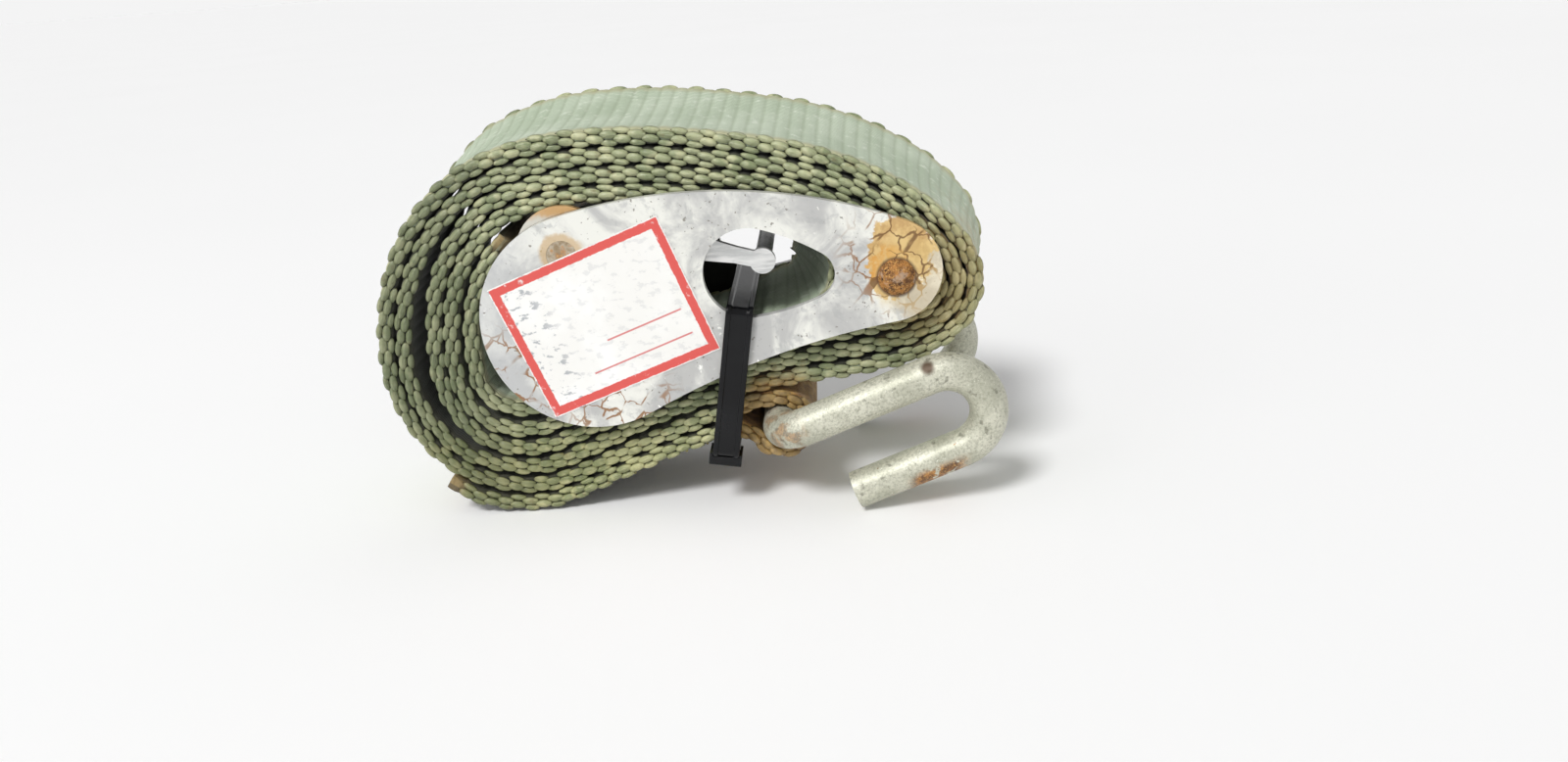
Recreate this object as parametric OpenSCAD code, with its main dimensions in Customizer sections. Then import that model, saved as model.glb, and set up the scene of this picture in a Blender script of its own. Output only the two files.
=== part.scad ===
// Ratchet webbing tie-down: a rolled strap with a flat double J hook, wound round its own ratchet.
// X runs along the coil, Y across the webbing, Z up. The origin is on the floor, under the middle.

/* [Webbing] */
// Width of the webbing
web_w = 44; // [42:0.5:44]
// Thickness of the webbing
web_t = 4.3; // [3.6:0.1:4.3]

/* [Side plates] */
// Thickness of each side plate
plate_t = 2.5; // [2:0.1:2.5]
// Radius of the big end, round the drum
big_r = 28.4; // [27:0.1:29]
// Radius of the narrow end, round the anchor pin
small_r = 13.3; // [12:0.1:13.5]
// Radius of the convex upper edge
top_edge_r = 141; // [120:1:200]
// Radius of the hollow lower edge
low_edge_r = 208; // [180:1:260]

/* [Ratchet] */
// Radius of the drum between the wheels
drum_r = 9.5; // [9:0.1:10]
// Radius of the drum ends, which turn in the bushes
journal_r = 8; // [7.5:0.1:8]
// Height of the slot that the webbing passes through
slot_h = 6; // [5.4:0.1:6.4]
// Number of teeth on each ratchet wheel
tooth_count = 12; // [12:12:24]
// Outer radius of the ratchet wheels
wheel_r = 13; // [12.6:0.1:13]
// Depth of a ratchet tooth
tooth_h = 2.4; // [2:0.1:2.4]
// Radius of the round lobe of the release lever
lobe_r = 12.2; // [12:0.1:13]

/* [Pins] */
// Radius of the lever pin and of the anchor pin's shank
pin_r = 3.9; // [3.5:0.1:3.9]
// Outer radius of the anchor roller
roller_r = 5.6; // [5.2:0.1:5.7]
// Radius of the domed heads of the anchor pin
head_r = 4.7; // [4.4:0.1:5]

/* [Hook] */
// Radius of the hook's round rod
rod_r = 5; // [4.6:0.1:5]
// Distance of each prong from the middle
prong_y = 30; // [29:0.5:31]
// Length of the shank, from the cross bar to the bend
shank_l = 41.9; // [40:0.1:43]
// Radius of the J bend, along the middle of the rod
bend_r = 11; // [10.5:0.1:12]
// Length of the straight leg that ends in the tip
leg_l = 30; // [26:0.5:32]
// Slope of the shank above the floor, in degrees
hook_angle = 20.5; // [19:0.5:21]

/* [Cable tie and label] */
// Width of the cable tie
tie_w = 7; // [6:0.1:7.6]
// Thickness of the cable tie
tie_t = 1.5; // [1.2:0.1:1.5]
// Length of the label
label_l = 48; // [40:0.1:51]
// Height of the label
label_h = 37.8; // [30:0.1:38.5]

/* [Hidden] */
$fn = 64;

// Running gap of a shaft, and the looser gap between parts that only lie side by side
run_gap = 0.06;
side_gap = 0.3;

// Layers across the width, measured from the middle of the webbing outwards
web_y = web_w / 2;
cheek_t = 1.8;
cheek_y = 22.4;
shim_t = 0.3;
plate_y = 24.6;
face_y = plate_y + plate_t;
wheel_t = 2.5;
wheel_y = 19.2;

// Axes, as [x, z]
drum_at = [-24.3, 54];
anchor_end_at = [52.7, 63];
anchor_pin_at = [54.4, 61.3];
lever_pin_at = [-29.2, 72.1];
lever_head_at = [20.9, 66.9];
hole_big_at = [17.3, 64.6];
hole_big_r = 11.6;
hole_small_at = [32.6, 63.2];
hole_small_r = 6.4;
hole_side_r = 60;
label_at = [-20.4, 54.9];
label_angle = 20;
label_t = 0.2;

// The hook stands with both tips on the floor
hook_x = 22.5;
hook_z = (rod_r + 2 * bend_r) * cos(hook_angle) + (leg_l - shank_l) * sin(hook_angle);
elbow_r = 8;
loop_r = rod_r + side_gap + web_t / 2;

// Middle line of the strap. The tail and the lead are the two layers sewn together into the hook
// loop. Each row of turn_stations is a place on the outermost turn: x, z, the direction of the
// next layer in degrees, the spacing of the layers there, and how far the layers part from that
// even spacing by layer_shift. The inner end is folded by hand.
strap_tail = [
    [-70, 9.5], [-64, 5.5], [-57, 3.1], [-49, 2.2], [-41, 2.8], [-32, 6], [-20, 10.8],
    [-5, 16.5], [4, 19.3], [10, 20.8], [14.4, 18.8]
];
strap_lead = [[14, 27.4], [4, 24.7], [-6, 21.3], [-21, 15.3], [-33, 10.6]];
turn_stations = [
    [-43, 7.5, 96, 5.5, 0], [-56, 8.8, 80, 5.5, 0], [-67.5, 14.5, 56, 5.5, 0.5], [-76, 25, 30, 5.5, 0.8],
    [-80.6, 39, 4, 5.7, 1], [-80, 53, -4, 5.7, 1], [-75.2, 69, -23, 5.4, 0.6], [-66, 83, -44, 5.1, 0.3],
    [-52, 93.8, -64, 4.8, 0], [-34, 99.2, -79, 4.7, 0], [-12, 100, -93, 4.7, 0], [12, 97.4, -99, 4.7, 0],
    [35, 92.4, -105, 4.7, 0], [51, 85.6, -116, 4.7, 0], [63.6, 77, -130, 4.7, 0], [71.6, 68, -150, 4.7, 0],
    [75, 58, -178, 4.7, 0], [71.5, 47.6, 144, 4.7, 0], [61, 40, 116, 4.9, 0], [45, 36.2, 98, 5.2, 0],
    [28, 34.6, 94, 4.8, 0], [8, 31.2, 104, 4.7, 0], [-13, 24.6, 110, 4.75, 0], [-29, 17.6, 108, 5.1, 0]
];
layer_shift = [0, -0.9, 1.7, 0.5];
full_turns = 3;
last_turn_stations = 11;
strap_inner_end = [
    [2, 84.9], [14, 82.3], [26, 78.5], [35.5, 72.3], [39.5, 64.5], [38.2, 57], [33.5, 52],
    [25, 49.9], [12, 47.4], [-3, 43.2], [-18, 38.2], [-33, 33], [-44, 29.8], [-52, 31.2],
    [-56.8, 36], [-57.6, 43.5], [-57, 53], [-54.4, 62.5], [-50, 70.3], [-44.5, 76.4]
];

function polar(r, a) = [r * cos(a), r * sin(a)];
function arc(c, r, a0, a1, n) = [for (i = [0:n]) c + polar(r, a0 + (a1 - a0) * i / n)];
function direction(p, q) = atan2(q[1] - p[1], q[0] - p[0]);

// Where two circles meet, on the left of the way from p to q for side = 1
function circles_meet(p, rp, q, rq, side) =
    let (d = norm(q - p), u = (q - p) / d, a = (rp * rp - rq * rq + d * d) / (2 * d),
         h = sqrt(rp * rp - a * a))
    p + a * u + side * h * [-u[1], u[0]];

// Round a big circle on the left and a small one on the right, joined by an upper and a lower
// arc that are tangent to both. A hollow lower arc has its centre below.
function egg_outline(c1, r1, c2, r2, upper_r, lower_r, hollow) =
    let (
        up = circles_meet(c1, upper_r - r1, c2, upper_r - r2, -1),
        low = hollow ? circles_meet(c1, lower_r + r1, c2, lower_r + r2, -1)
                     : circles_meet(c1, lower_r - r1, c2, lower_r - r2, 1),
        up_right = direction(up, c2), up_left = direction(up, c1),
        low_left = hollow ? direction(c1, low) : direction(low, c1),
        low_right = hollow ? direction(c2, low) : direction(low, c2)
    )
    concat(
        arc(c2, r2, low_right, up_right, 18),
        arc(up, upper_r, up_right, up_left, 24),
        arc(c1, r1, up_left, low_left + 360, 40),
        hollow ? arc(low, lower_r, direction(low, c1), direction(low, c2), 24)
               : arc(low, lower_r, low_left, low_right, 12)
    );

// Outline of a straight arm that tapers from one round end to another
function taper_outline(c1, r1, c2, r2) =
    let (a = direction(c1, c2), b = acos((r1 - r2) / norm(c2 - c1)))
    concat(arc(c1, r1, a + b, a + 360 - b, 20), arc(c2, r2, a - b, a + b, 16));

// Smooth curve through a list of points, with tangents weighted by the spacing
function tangent(p, i) =
    let (n = len(p) - 1)
    i == 0 ? (p[1] - p[0]) / norm(p[1] - p[0])
    : i == n ? (p[n] - p[n - 1]) / norm(p[n] - p[n - 1])
    : let (a = norm(p[i] - p[i - 1]), b = norm(p[i + 1] - p[i]))
      ((p[i] - p[i - 1]) / a * b + (p[i + 1] - p[i]) / b * a) / (a + b);
function between(p, i, t) =
    let (d = norm(p[i + 1] - p[i]), t2 = t * t, t3 = t2 * t)
    (2 * t3 - 3 * t2 + 1) * p[i] + (t3 - 2 * t2 + t) * d * tangent(p, i)
    + (3 * t2 - 2 * t3) * p[i + 1] + (t3 - t2) * d * tangent(p, i + 1);
function smooth(p, steps) = concat(
    [for (i = [0:len(p) - 2], s = [0:steps - 1]) between(p, i, s / steps)], [p[len(p) - 1]]);

// Unit normal of a sampled line, on its left
function left_of(p, i) =
    let (d = p[min(i + 1, len(p) - 1)] - p[max(i - 1, 0)])
    [-d[1], d[0]] / norm(d);
function ribbon_outline(p, t) = concat(
    [for (i = [0:len(p) - 1]) p[i] + left_of(p, i) * t / 2],
    [for (i = [len(p) - 1:-1:0]) p[i] - left_of(p, i) * t / 2]);

hook_loop = [for (a = [-120:30:90]) [hook_x, hook_z] + polar(loop_r, a)];
coil_turns = [
    for (k = [0:full_turns], i = [0:len(turn_stations) - 1])
        if (k < full_turns || i < last_turn_stations)
            let (s = turn_stations[i]) [s[0], s[1]] + polar(k * s[3] + layer_shift[k] * s[4], s[2])
];
strap_line = concat(strap_tail, hook_loop, strap_lead, coil_turns, strap_inner_end);
strap_steps = 3;
strap_path = smooth(strap_line, strap_steps);

// Puts an outline drawn in x and z at y = y0 to y1
module slab(y0, y1) {
    translate([0, y1, 0]) rotate([90, 0, 0]) linear_extrude(height = y1 - y0) children();
}

// A shaft along Y
module shaft(at, r, y0, y1) {
    translate([at[0], y0, at[1]]) rotate([-90, 0, 0]) cylinder(r = r, h = y1 - y0);
}

module side_plate(y0) {
    y1 = y0 + plate_t;
    difference() {
        slab(y0, y1)
            polygon(egg_outline(drum_at, big_r, anchor_end_at, small_r,
                                top_edge_r, low_edge_r, true));
        slab(y0 - 1, y1 + 1)
            polygon(egg_outline(hole_big_at, hole_big_r, hole_small_at, hole_small_r,
                                hole_side_r, hole_side_r, false));
        shaft(drum_at, journal_r + 2 + run_gap, y0 - 1, y1 + 1);
        shaft(anchor_pin_at, pin_r + run_gap / 2, y0 - 1, y1 + 1);
        shaft(lever_pin_at, pin_r + run_gap / 2, y0 - 1, y1 + 1);
    }
}

module front_side_plate() {
    color("gainsboro") side_plate(-face_y);
}

module rear_side_plate() {
    color("gainsboro") side_plate(plate_y);
}

// Domed head, cut from a ball so that it stands head_h proud of the plate
module domed_head(side) {
    head_h = 2.8;
    ball_r = 5.4;
    translate([anchor_pin_at[0], side * (face_y + 0.05), anchor_pin_at[1]])
        rotate([-90 * side, 0, 0])
            intersection() {
                cylinder(r = head_r, h = head_h);
                translate([0, 0, head_h - ball_r]) sphere(r = ball_r);
            }
}

module anchor_pin() {
    color("saddlebrown") union() {
        shaft(anchor_pin_at, pin_r, -face_y - 0.6, face_y + 0.6);
        domed_head(-1);
        domed_head(1);
    }
}

module anchor_washers() {
    washer_r = 8;
    color("peru") for (y0 = [-plate_y + 0.1, plate_y - 1.1])
        difference() {
            shaft(anchor_pin_at, washer_r, y0, y0 + 1);
            shaft(anchor_pin_at, pin_r + run_gap, y0 - 1, y0 + 2);
        }
}

module anchor_roller() {
    half_l = plate_y - 1.4;
    color("sienna") difference() {
        shaft(anchor_pin_at, roller_r, -half_l, half_l);
        shaft(anchor_pin_at, pin_r + run_gap, -half_l - 1, half_l + 1);
    }
}

// The pin has a cross hole that holds the inner leg of the spring
spring_wire_r = 0.5;
spring_r = 5.1;
spring_y0 = 10.5;
spring_pitch = 1.25;
spring_turns = 5;
module lever_pin() {
    color("darkgray") difference() {
        shaft(lever_pin_at, pin_r, -face_y + 0.1, face_y - 0.1);
        translate([lever_pin_at[0], spring_y0, lever_pin_at[1]])
            rotate([0, -90, 0]) cylinder(r = spring_wire_r + 0.2, h = pin_r + 1, $fn = 24);
    }
}

module lever_shims() {
    shim_r = 6;
    for (y0 = [-plate_y + 0.04, plate_y - 0.04 - shim_t])
        color("silver") difference() {
            shaft(lever_pin_at, shim_r, y0, y0 + shim_t);
            shaft(lever_pin_at, pin_r + run_gap, y0 - 1, y0 + 1);
        }
}

// Lever cheek: a round lobe on the pin, with a tapered arm that ends in a hooked head.
// It is hollowed round the drum, with room for the whole lift of the lever.
module lever_cheek(y0) {
    arm_root_at = [-15, 76.4];
    arm_waist_at = [14, 68.9];
    relief_r = 12;
    difference() {
        union() {
            slab(y0, y0 + cheek_t) polygon(arc(lever_pin_at, lobe_r, 0, 350, 48));
            slab(y0, y0 + cheek_t)
                polygon(taper_outline(arm_root_at, 5.4, arm_waist_at, 2.1));
            slab(y0, y0 + cheek_t)
                polygon(taper_outline(arm_waist_at, 2.1, lever_head_at, 2));
            shaft(lever_head_at, 3.3, y0, y0 + cheek_t);
        }
        shaft(drum_at, relief_r, y0 - 1, y0 + cheek_t + 1);
        shaft(lever_pin_at, pin_r + run_gap, y0 - 1, y0 + cheek_t + 1);
    }
}

module release_lever_front() {
    color("lightgray") lever_cheek(-cheek_y - cheek_t);
}

module release_lever_rear() {
    color("lightgray") lever_cheek(cheek_y);
}

module lever_cross_bar() {
    color("silver") shaft(lever_head_at, 2.2, -cheek_y, cheek_y);
}

// Pawl: a hub on the lever pin, with a nose that stands against a tooth of both wheels
tooth_face = 52;
pawl_gap = 1.3;
root_r = wheel_r - tooth_h;
module locking_pawl() {
    hub_r = 5.2;
    half_l = cheek_y - 0.1;
    nose = [for (p = [[root_r + 0.35, tooth_face + pawl_gap], [wheel_r + 1.6, tooth_face + pawl_gap]])
        drum_at + polar(p[0], p[1])];
    back = [for (p = [[wheel_r + 0.5, 90], [wheel_r + 0.4, 68], [wheel_r - 1.1, 63.5]])
        drum_at + polar(p[0], p[1])];
    spring_room = [spring_y0 - 1, spring_y0 + spring_pitch * spring_turns + 1];
    color("dimgray") difference() {
        union() {
            shaft(lever_pin_at, hub_r, -half_l, half_l);
            slab(-half_l, half_l) polygon(concat(
                nose,
                [lever_pin_at + polar(hub_r - 0.1, 60), lever_pin_at,
                 lever_pin_at + polar(hub_r - 0.1, -82)],
                back));
        }
        shaft(lever_pin_at, pin_r + run_gap, -half_l - 1, half_l + 1);
        shaft(lever_pin_at, spring_r + 1, spring_room[0], spring_room[1]);
    }
}

// Round wire swept along a list of points
function wire_ring(p, i, r, sides) =
    let (
        d = p[min(i + 1, len(p) - 1)] - p[max(i - 1, 0)],
        t = d / norm(d),
        u0 = cross(t, abs(t[1]) > 0.9 ? [1, 0, 0] : [0, 1, 0]),
        u = u0 / norm(u0),
        v = cross(t, u)
    )
    [for (j = [0:sides - 1]) p[i] + r * (u * cos(360 * j / sides) + v * sin(360 * j / sides))];
module wire(p, r, sides) {
    last = len(p) - 1;
    polyhedron(
        points = [for (i = [0:last]) each wire_ring(p, i, r, sides)],
        faces = concat(
            [[for (j = [0:sides - 1]) j]],
            [for (i = [0:last - 1], j = [0:sides - 1])
                let (a = i * sides + j, b = i * sides + (j + 1) % sides)
                each [[a, a + sides, b + sides], [a, b + sides, b]]],
            [[for (j = [sides - 1:-1:0]) last * sides + j]]
        )
    );
}

// Torsion spring: the inner leg is held in the pin, and the outer leg bears on the pawl
module lever_spring() {
    leg_from = 53;
    leg_slope = -37;
    sweep = 360 * (spring_turns - 1) + 180 - leg_from;
    last = ceil(sweep / 18);
    end_y = spring_y0 + spring_pitch * sweep / 360;
    inner_leg = [for (r = [2.4, 3.4, 4.4])
        [lever_pin_at[0] - r, spring_y0, lever_pin_at[1]]];
    coil = [for (i = [1:last])
        let (a = 180 - sweep * i / last)
        [lever_pin_at[0] + spring_r * cos(a), spring_y0 + (end_y - spring_y0) * i / last,
         lever_pin_at[1] + spring_r * sin(a)]];
    outer_leg = [for (reach = [3, 6, 9])
        [lever_pin_at[0] + spring_r * cos(leg_from) + reach * cos(leg_slope), end_y,
         lever_pin_at[1] + spring_r * sin(leg_from) + reach * sin(leg_slope)]];
    color("gray") wire(concat(inner_leg, coil, outer_leg), spring_wire_r, 8);
}

// One half of the split drum. The flat of each half faces the slot.
module drum_half(side) {
    core_l = 2 * (wheel_y - 0.1);
    end_y = face_y - 0.2;
    color("dimgray") intersection() {
        union() {
            shaft(drum_at, drum_r, -core_l / 2, core_l / 2);
            shaft(drum_at, journal_r, -end_y, end_y);
        }
        translate([drum_at[0] - 15, -40, side > 0 ? drum_at[1] + slot_h / 2
                                                  : drum_at[1] - slot_h / 2 - 15])
            cube([30, 80, 15]);
    }
}

module drum_half_upper() { drum_half(1); }
module drum_half_lower() { drum_half(-1); }

// Ratchet wheel, pierced by two D-shaped holes for the drum halves
module ratchet_wheel(y0) {
    pitch = 360 / tooth_count;
    slack = 0.06;
    color("slategray") difference() {
        slab(y0, y0 + wheel_t) polygon([for (i = [0:tooth_count - 1], r = [wheel_r, root_r])
            drum_at + polar(r, tooth_face + i * pitch)]);
        difference() {
            shaft(drum_at, journal_r + slack, y0 - 1, y0 + wheel_t + 1);
            translate([drum_at[0] - 15, y0 - 2, drum_at[1] - slot_h / 2 + slack])
                cube([30, wheel_t + 4, slot_h - 2 * slack]);
        }
    }
}

module ratchet_wheel_front() { ratchet_wheel(-wheel_y - wheel_t); }
module ratchet_wheel_rear() { ratchet_wheel(wheel_y); }

module drum_bush(y0) {
    color("darkgoldenrod") difference() {
        shaft(drum_at, journal_r + 2, y0, y0 + plate_t - 0.1);
        shaft(drum_at, journal_r + run_gap, y0 - 1, y0 + plate_t + 1);
    }
}

module drum_bush_front() { drum_bush(-face_y + 0.1); }
module drum_bush_rear() { drum_bush(plate_y); }

module webbing_strap() {
    color("darkseagreen") slab(-web_y, web_y) polygon(ribbon_outline(strap_path, web_t));
}

// Rows of thread across the outside of the sewn loop
module loop_stitching() {
    thread_r = 0.4;
    rows = 6;
    first_row = 6 * strap_steps;
    color("olive") for (i = [0:rows - 1]) {
        at = first_row + i;
        // The outside of the tail is on the right of the line
        p = strap_path[at] - left_of(strap_path, at) * (web_t / 2 + thread_r + 0.05);
        shaft(p, thread_r, -web_y + 3, web_y - 3, $fn = 16);
    }
}

// One prong: elbow, shank, J bend and leg, in the plane y = prong_y or y = -prong_y
module prong(side) {
    elbow_y = prong_y - elbow_r;
    translate([elbow_r, side * elbow_y, 0]) rotate([0, 0, side > 0 ? 90 : 180])
        rotate_extrude(angle = 90) translate([elbow_r, 0]) circle(r = rod_r);
    translate([elbow_r, side * prong_y, 0]) rotate([0, 90, 0])
        cylinder(r = rod_r, h = shank_l - elbow_r);
    translate([shank_l, side * prong_y, -bend_r]) rotate([90, 0, 0]) rotate([0, 0, -90])
        rotate_extrude(angle = 180) translate([bend_r, 0]) circle(r = rod_r);
    translate([shank_l - leg_l, side * prong_y, -2 * bend_r]) rotate([0, 90, 0])
        cylinder(r = rod_r, h = leg_l);
}

module double_hook() {
    elbow_y = prong_y - elbow_r;
    color("darkgray") translate([hook_x, 0, hook_z]) rotate([0, -hook_angle, 0]) union() {
        translate([0, -elbow_y, 0]) rotate([-90, 0, 0]) cylinder(r = rod_r, h = 2 * elbow_y);
        prong(1);
        prong(-1);
    }
}

// Outline of a rounded frame, one band thick
function round_box(half_y, z0, z1, r) = concat(
    arc([half_y - r, z1 - r], r, 0, 90, 6), arc([-half_y + r, z1 - r], r, 90, 180, 6),
    arc([-half_y + r, z0 + r], r, 180, 270, 6), arc([half_y - r, z0 + r], r, 270, 360, 6));

// The tie leans to the right. In its own frame it goes round in y and z, and x is its width.
tie_foot_at = [7.2, 14.7];
tie_lean = 10;
tie_top = 42.2;
tie_half_y = face_y + 0.3 + tie_t;
module tie_frame() {
    translate([tie_foot_at[0], 0, tie_foot_at[1]]) rotate([0, tie_lean, 0]) children();
}
module tie_loop(w, t, grow) {
    rotate([90, 0, 90]) linear_extrude(height = w, center = true) difference() {
        polygon(round_box(tie_half_y + grow, -grow, tie_top + grow, 2.5));
        polygon(round_box(tie_half_y - t - grow, t + grow, tie_top - t - grow, 1));
    }
}

module cable_tie_band() {
    color("black") tie_frame() tie_loop(tie_w, tie_t, 0);
}

// The head sits under the roll, by the front lower corner of the band
module cable_tie_head() {
    head_size = [8.6, 7, 3.2];
    color("black") tie_frame() difference() {
        translate([-head_size[0] / 2, -tie_half_y + 1.4, -2]) cube(head_size);
        tie_loop(tie_w + 0.2, tie_t, 0.05);
    }
}

module inspection_label() {
    color("white") translate([label_at[0], -face_y - 0.05, label_at[1]])
        rotate([90, -label_angle, 0]) translate([-label_l / 2, -label_h / 2, 0])
            cube([label_l, label_h, label_t]);
}

front_side_plate();
rear_side_plate();
anchor_pin();
anchor_washers();
anchor_roller();
lever_pin();
lever_shims();
release_lever_front();
release_lever_rear();
lever_cross_bar();
locking_pawl();
lever_spring();
drum_half_upper();
drum_half_lower();
ratchet_wheel_front();
ratchet_wheel_rear();
drum_bush_front();
drum_bush_rear();
webbing_strap();
loop_stitching();
double_hook();
cable_tie_band();
cable_tie_head();
inspection_label();
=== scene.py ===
"""Ratchet webbing tie-down, rolled up: the looks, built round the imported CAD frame."""

import math
import random

import bmesh
import bpy
from mathutils import Matrix, Vector


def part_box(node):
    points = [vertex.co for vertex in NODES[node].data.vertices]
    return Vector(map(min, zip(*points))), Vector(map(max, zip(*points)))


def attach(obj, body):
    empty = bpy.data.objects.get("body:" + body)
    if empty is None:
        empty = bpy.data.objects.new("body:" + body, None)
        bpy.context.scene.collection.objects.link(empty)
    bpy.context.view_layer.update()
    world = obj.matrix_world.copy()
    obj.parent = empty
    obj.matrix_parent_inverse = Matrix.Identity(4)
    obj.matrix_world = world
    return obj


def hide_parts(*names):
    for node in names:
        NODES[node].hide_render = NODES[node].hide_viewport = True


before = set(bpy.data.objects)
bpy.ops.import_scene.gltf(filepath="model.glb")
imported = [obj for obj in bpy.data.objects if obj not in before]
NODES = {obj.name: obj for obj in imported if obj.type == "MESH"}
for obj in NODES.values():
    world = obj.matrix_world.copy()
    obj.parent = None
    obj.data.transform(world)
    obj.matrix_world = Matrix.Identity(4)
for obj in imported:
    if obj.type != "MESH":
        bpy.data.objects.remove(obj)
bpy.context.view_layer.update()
MM = 0.001
random.seed(11)

# ---------------------------------------------------------------- camera
# It looks down at the near plate, a little from the right, and leans a little clockwise.
CAMERA_AT = Vector((38.2, -314.3, 137.4)) * MM
CAMERA_TURN = 2.79
CAMERA_TILT = -19.526
CAMERA_LEAN = -4.297


def rotation(degrees, axis):
    return Matrix.Rotation(math.radians(degrees), 4, axis)


camera_data = bpy.data.cameras.new("camera")
camera_data.lens = 27
camera_data.sensor_width = 36
camera_data.clip_start = 0.01
camera = bpy.data.objects.new("camera", camera_data)
bpy.context.scene.collection.objects.link(camera)
camera.matrix_world = (Matrix.Translation(CAMERA_AT) @ rotation(CAMERA_TURN, "Z")
                       @ rotation(90 + CAMERA_TILT, "X") @ rotation(CAMERA_LEAN, "Z"))
bpy.context.scene.camera = camera


# ---------------------------------------------------------------- material tools
def srgb(r, g, b):
    """Linear colour from 0..255 screen values."""
    def lin(v):
        v /= 255
        return v / 12.92 if v <= 0.04045 else ((v + 0.055) / 1.055) ** 2.4
    return (lin(r), lin(g), lin(b), 1)


class Shader:
    """A small wrapper round a Principled material: each call adds a node and gives its output.
    Lengths are in metres, except in near(), spot() and bump(), which take mm."""

    def __init__(self, name, rough=0.5, metal=0.0):
        self.material = bpy.data.materials.new(name)
        self.material.use_nodes = True
        self.tree = self.material.node_tree
        self.bsdf = self.tree.nodes["Principled BSDF"]
        self.bsdf.inputs["Roughness"].default_value = rough
        self.bsdf.inputs["Metallic"].default_value = metal
        self.at = self.node("ShaderNodeTexCoord").outputs["Object"]

    def node(self, kind, **props):
        made = self.tree.nodes.new(kind)
        for key, value in props.items():
            setattr(made, key, value)
        return made

    def put(self, socket, value):
        if isinstance(value, bpy.types.NodeSocket):
            self.tree.links.new(value, socket)
        else:
            socket.default_value = value

    # Places
    def axis(self, name, at=None):
        made = self.node("ShaderNodeSeparateXYZ")
        self.put(made.inputs[0], at or self.at)
        return made.outputs[name]

    def uv(self):
        return self.node("ShaderNodeTexCoord").outputs["UV"]

    def near(self, x, z, y=None):
        """Distance in metres from a point, or without y from a line along Y."""
        at = self.at if y is not None else self.vector("MULTIPLY", self.at, (1, 0, 1))
        return self.vector("DISTANCE", at, (x * MM, (y or 0) * MM, z * MM))

    # Patterns
    def noise(self, scale, detail=3.0, rough=0.55, at=None, stretch=None, warp=0.0):
        made = self.node("ShaderNodeTexNoise")
        made.inputs["Scale"].default_value = scale
        made.inputs["Detail"].default_value = detail
        made.inputs["Roughness"].default_value = rough
        made.inputs["Distortion"].default_value = warp
        at = at or self.at
        if stretch:
            at = self.vector("MULTIPLY", at, stretch)
        self.put(made.inputs["Vector"], at)
        return made.outputs["Fac"]

    def wobble(self, reach, scale, detail=3.0, rough=0.55):
        """Noise round 0, up to half of reach either way."""
        return self.times(self.minus(self.noise(scale, detail, rough), 0.5), reach)

    def cracks(self, scale, at):
        """Distance from the borders of a pattern of cells."""
        made = self.node("ShaderNodeTexVoronoi", feature="DISTANCE_TO_EDGE")
        made.inputs["Scale"].default_value = scale
        self.put(made.inputs["Vector"], at)
        return made.outputs["Distance"]

    # Sums
    def vector(self, op, a, b):
        made = self.node("ShaderNodeVectorMath", operation=op)
        self.put(made.inputs[0], a)
        self.put(made.inputs[1], b)
        return made.outputs["Value" if op in ("DISTANCE", "DOT_PRODUCT") else "Vector"]

    def math(self, op, a, b=0.0):
        made = self.node("ShaderNodeMath", operation=op)
        self.put(made.inputs[0], a)
        self.put(made.inputs[1], b)
        return made.outputs[0]

    def plus(self, a, b):
        return self.math("ADD", a, b)

    def minus(self, a, b):
        return self.math("SUBTRACT", a, b)

    def times(self, a, b):
        return self.math("MULTIPLY", a, b)

    def most(self, a, b):
        return self.math("MAXIMUM", a, b)

    def absolute(self, a):
        return self.math("ABSOLUTE", a)

    # Masks and colours
    def step(self, value, low, high):
        """0 below low and 1 above high, smooth between them; low may be above high."""
        made = self.node("ShaderNodeMapRange", interpolation_type="SMOOTHSTEP")
        self.put(made.inputs["Value"], value)
        flip = low > high
        made.inputs["From Min"].default_value = min(low, high)
        made.inputs["From Max"].default_value = max(low, high)
        made.inputs["To Min"].default_value = 1.0 if flip else 0.0
        made.inputs["To Max"].default_value = 0.0 if flip else 1.0
        return made.outputs["Result"]

    def spot(self, x, z, core, reach, uneven=None, y=None):
        """1 within core of the place that near() takes, 0 beyond reach."""
        away = self.near(x, z, y)
        if uneven:
            away = self.plus(away, uneven)
        return self.step(away, reach * MM, core * MM)

    def mix(self, share, a, b, blend="MIX"):
        made = self.node("ShaderNodeMix", data_type="RGBA", blend_type=blend)
        self.put(made.inputs["Factor"], share)
        self.put(made.inputs["A"], a)
        self.put(made.inputs["B"], b)
        return made.outputs["Result"]

    def tint(self, base, colour, mask, share=1.0):
        """The base, with share of the colour laid over it where the mask is 1."""
        return self.mix(self.times(mask, share), base, colour)

    # What the surface takes
    def colour(self, value):
        self.put(self.bsdf.inputs["Base Color"], value)

    def rough(self, value):
        self.put(self.bsdf.inputs["Roughness"], value)

    def metal(self, value):
        self.put(self.bsdf.inputs["Metallic"], value)

    def bump(self, height, depth_mm, strength=1.0, under=None):
        made = self.node("ShaderNodeBump")
        made.inputs["Strength"].default_value = strength
        made.inputs["Distance"].default_value = depth_mm * MM
        self.put(made.inputs["Height"], height)
        if under:
            self.put(made.inputs["Normal"], under)
        self.put(self.bsdf.inputs["Normal"], made.outputs["Normal"])
        return made.outputs["Normal"]


# ---------------------------------------------------------------- metals
ANCHOR_PIN_AT = (54.4, 61.3)
LEVER_PIN_AT = (-29.2, 72.1)
PRONG_SLOPE = 0.374  # how far the hook's prongs rise for each mm along X


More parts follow.
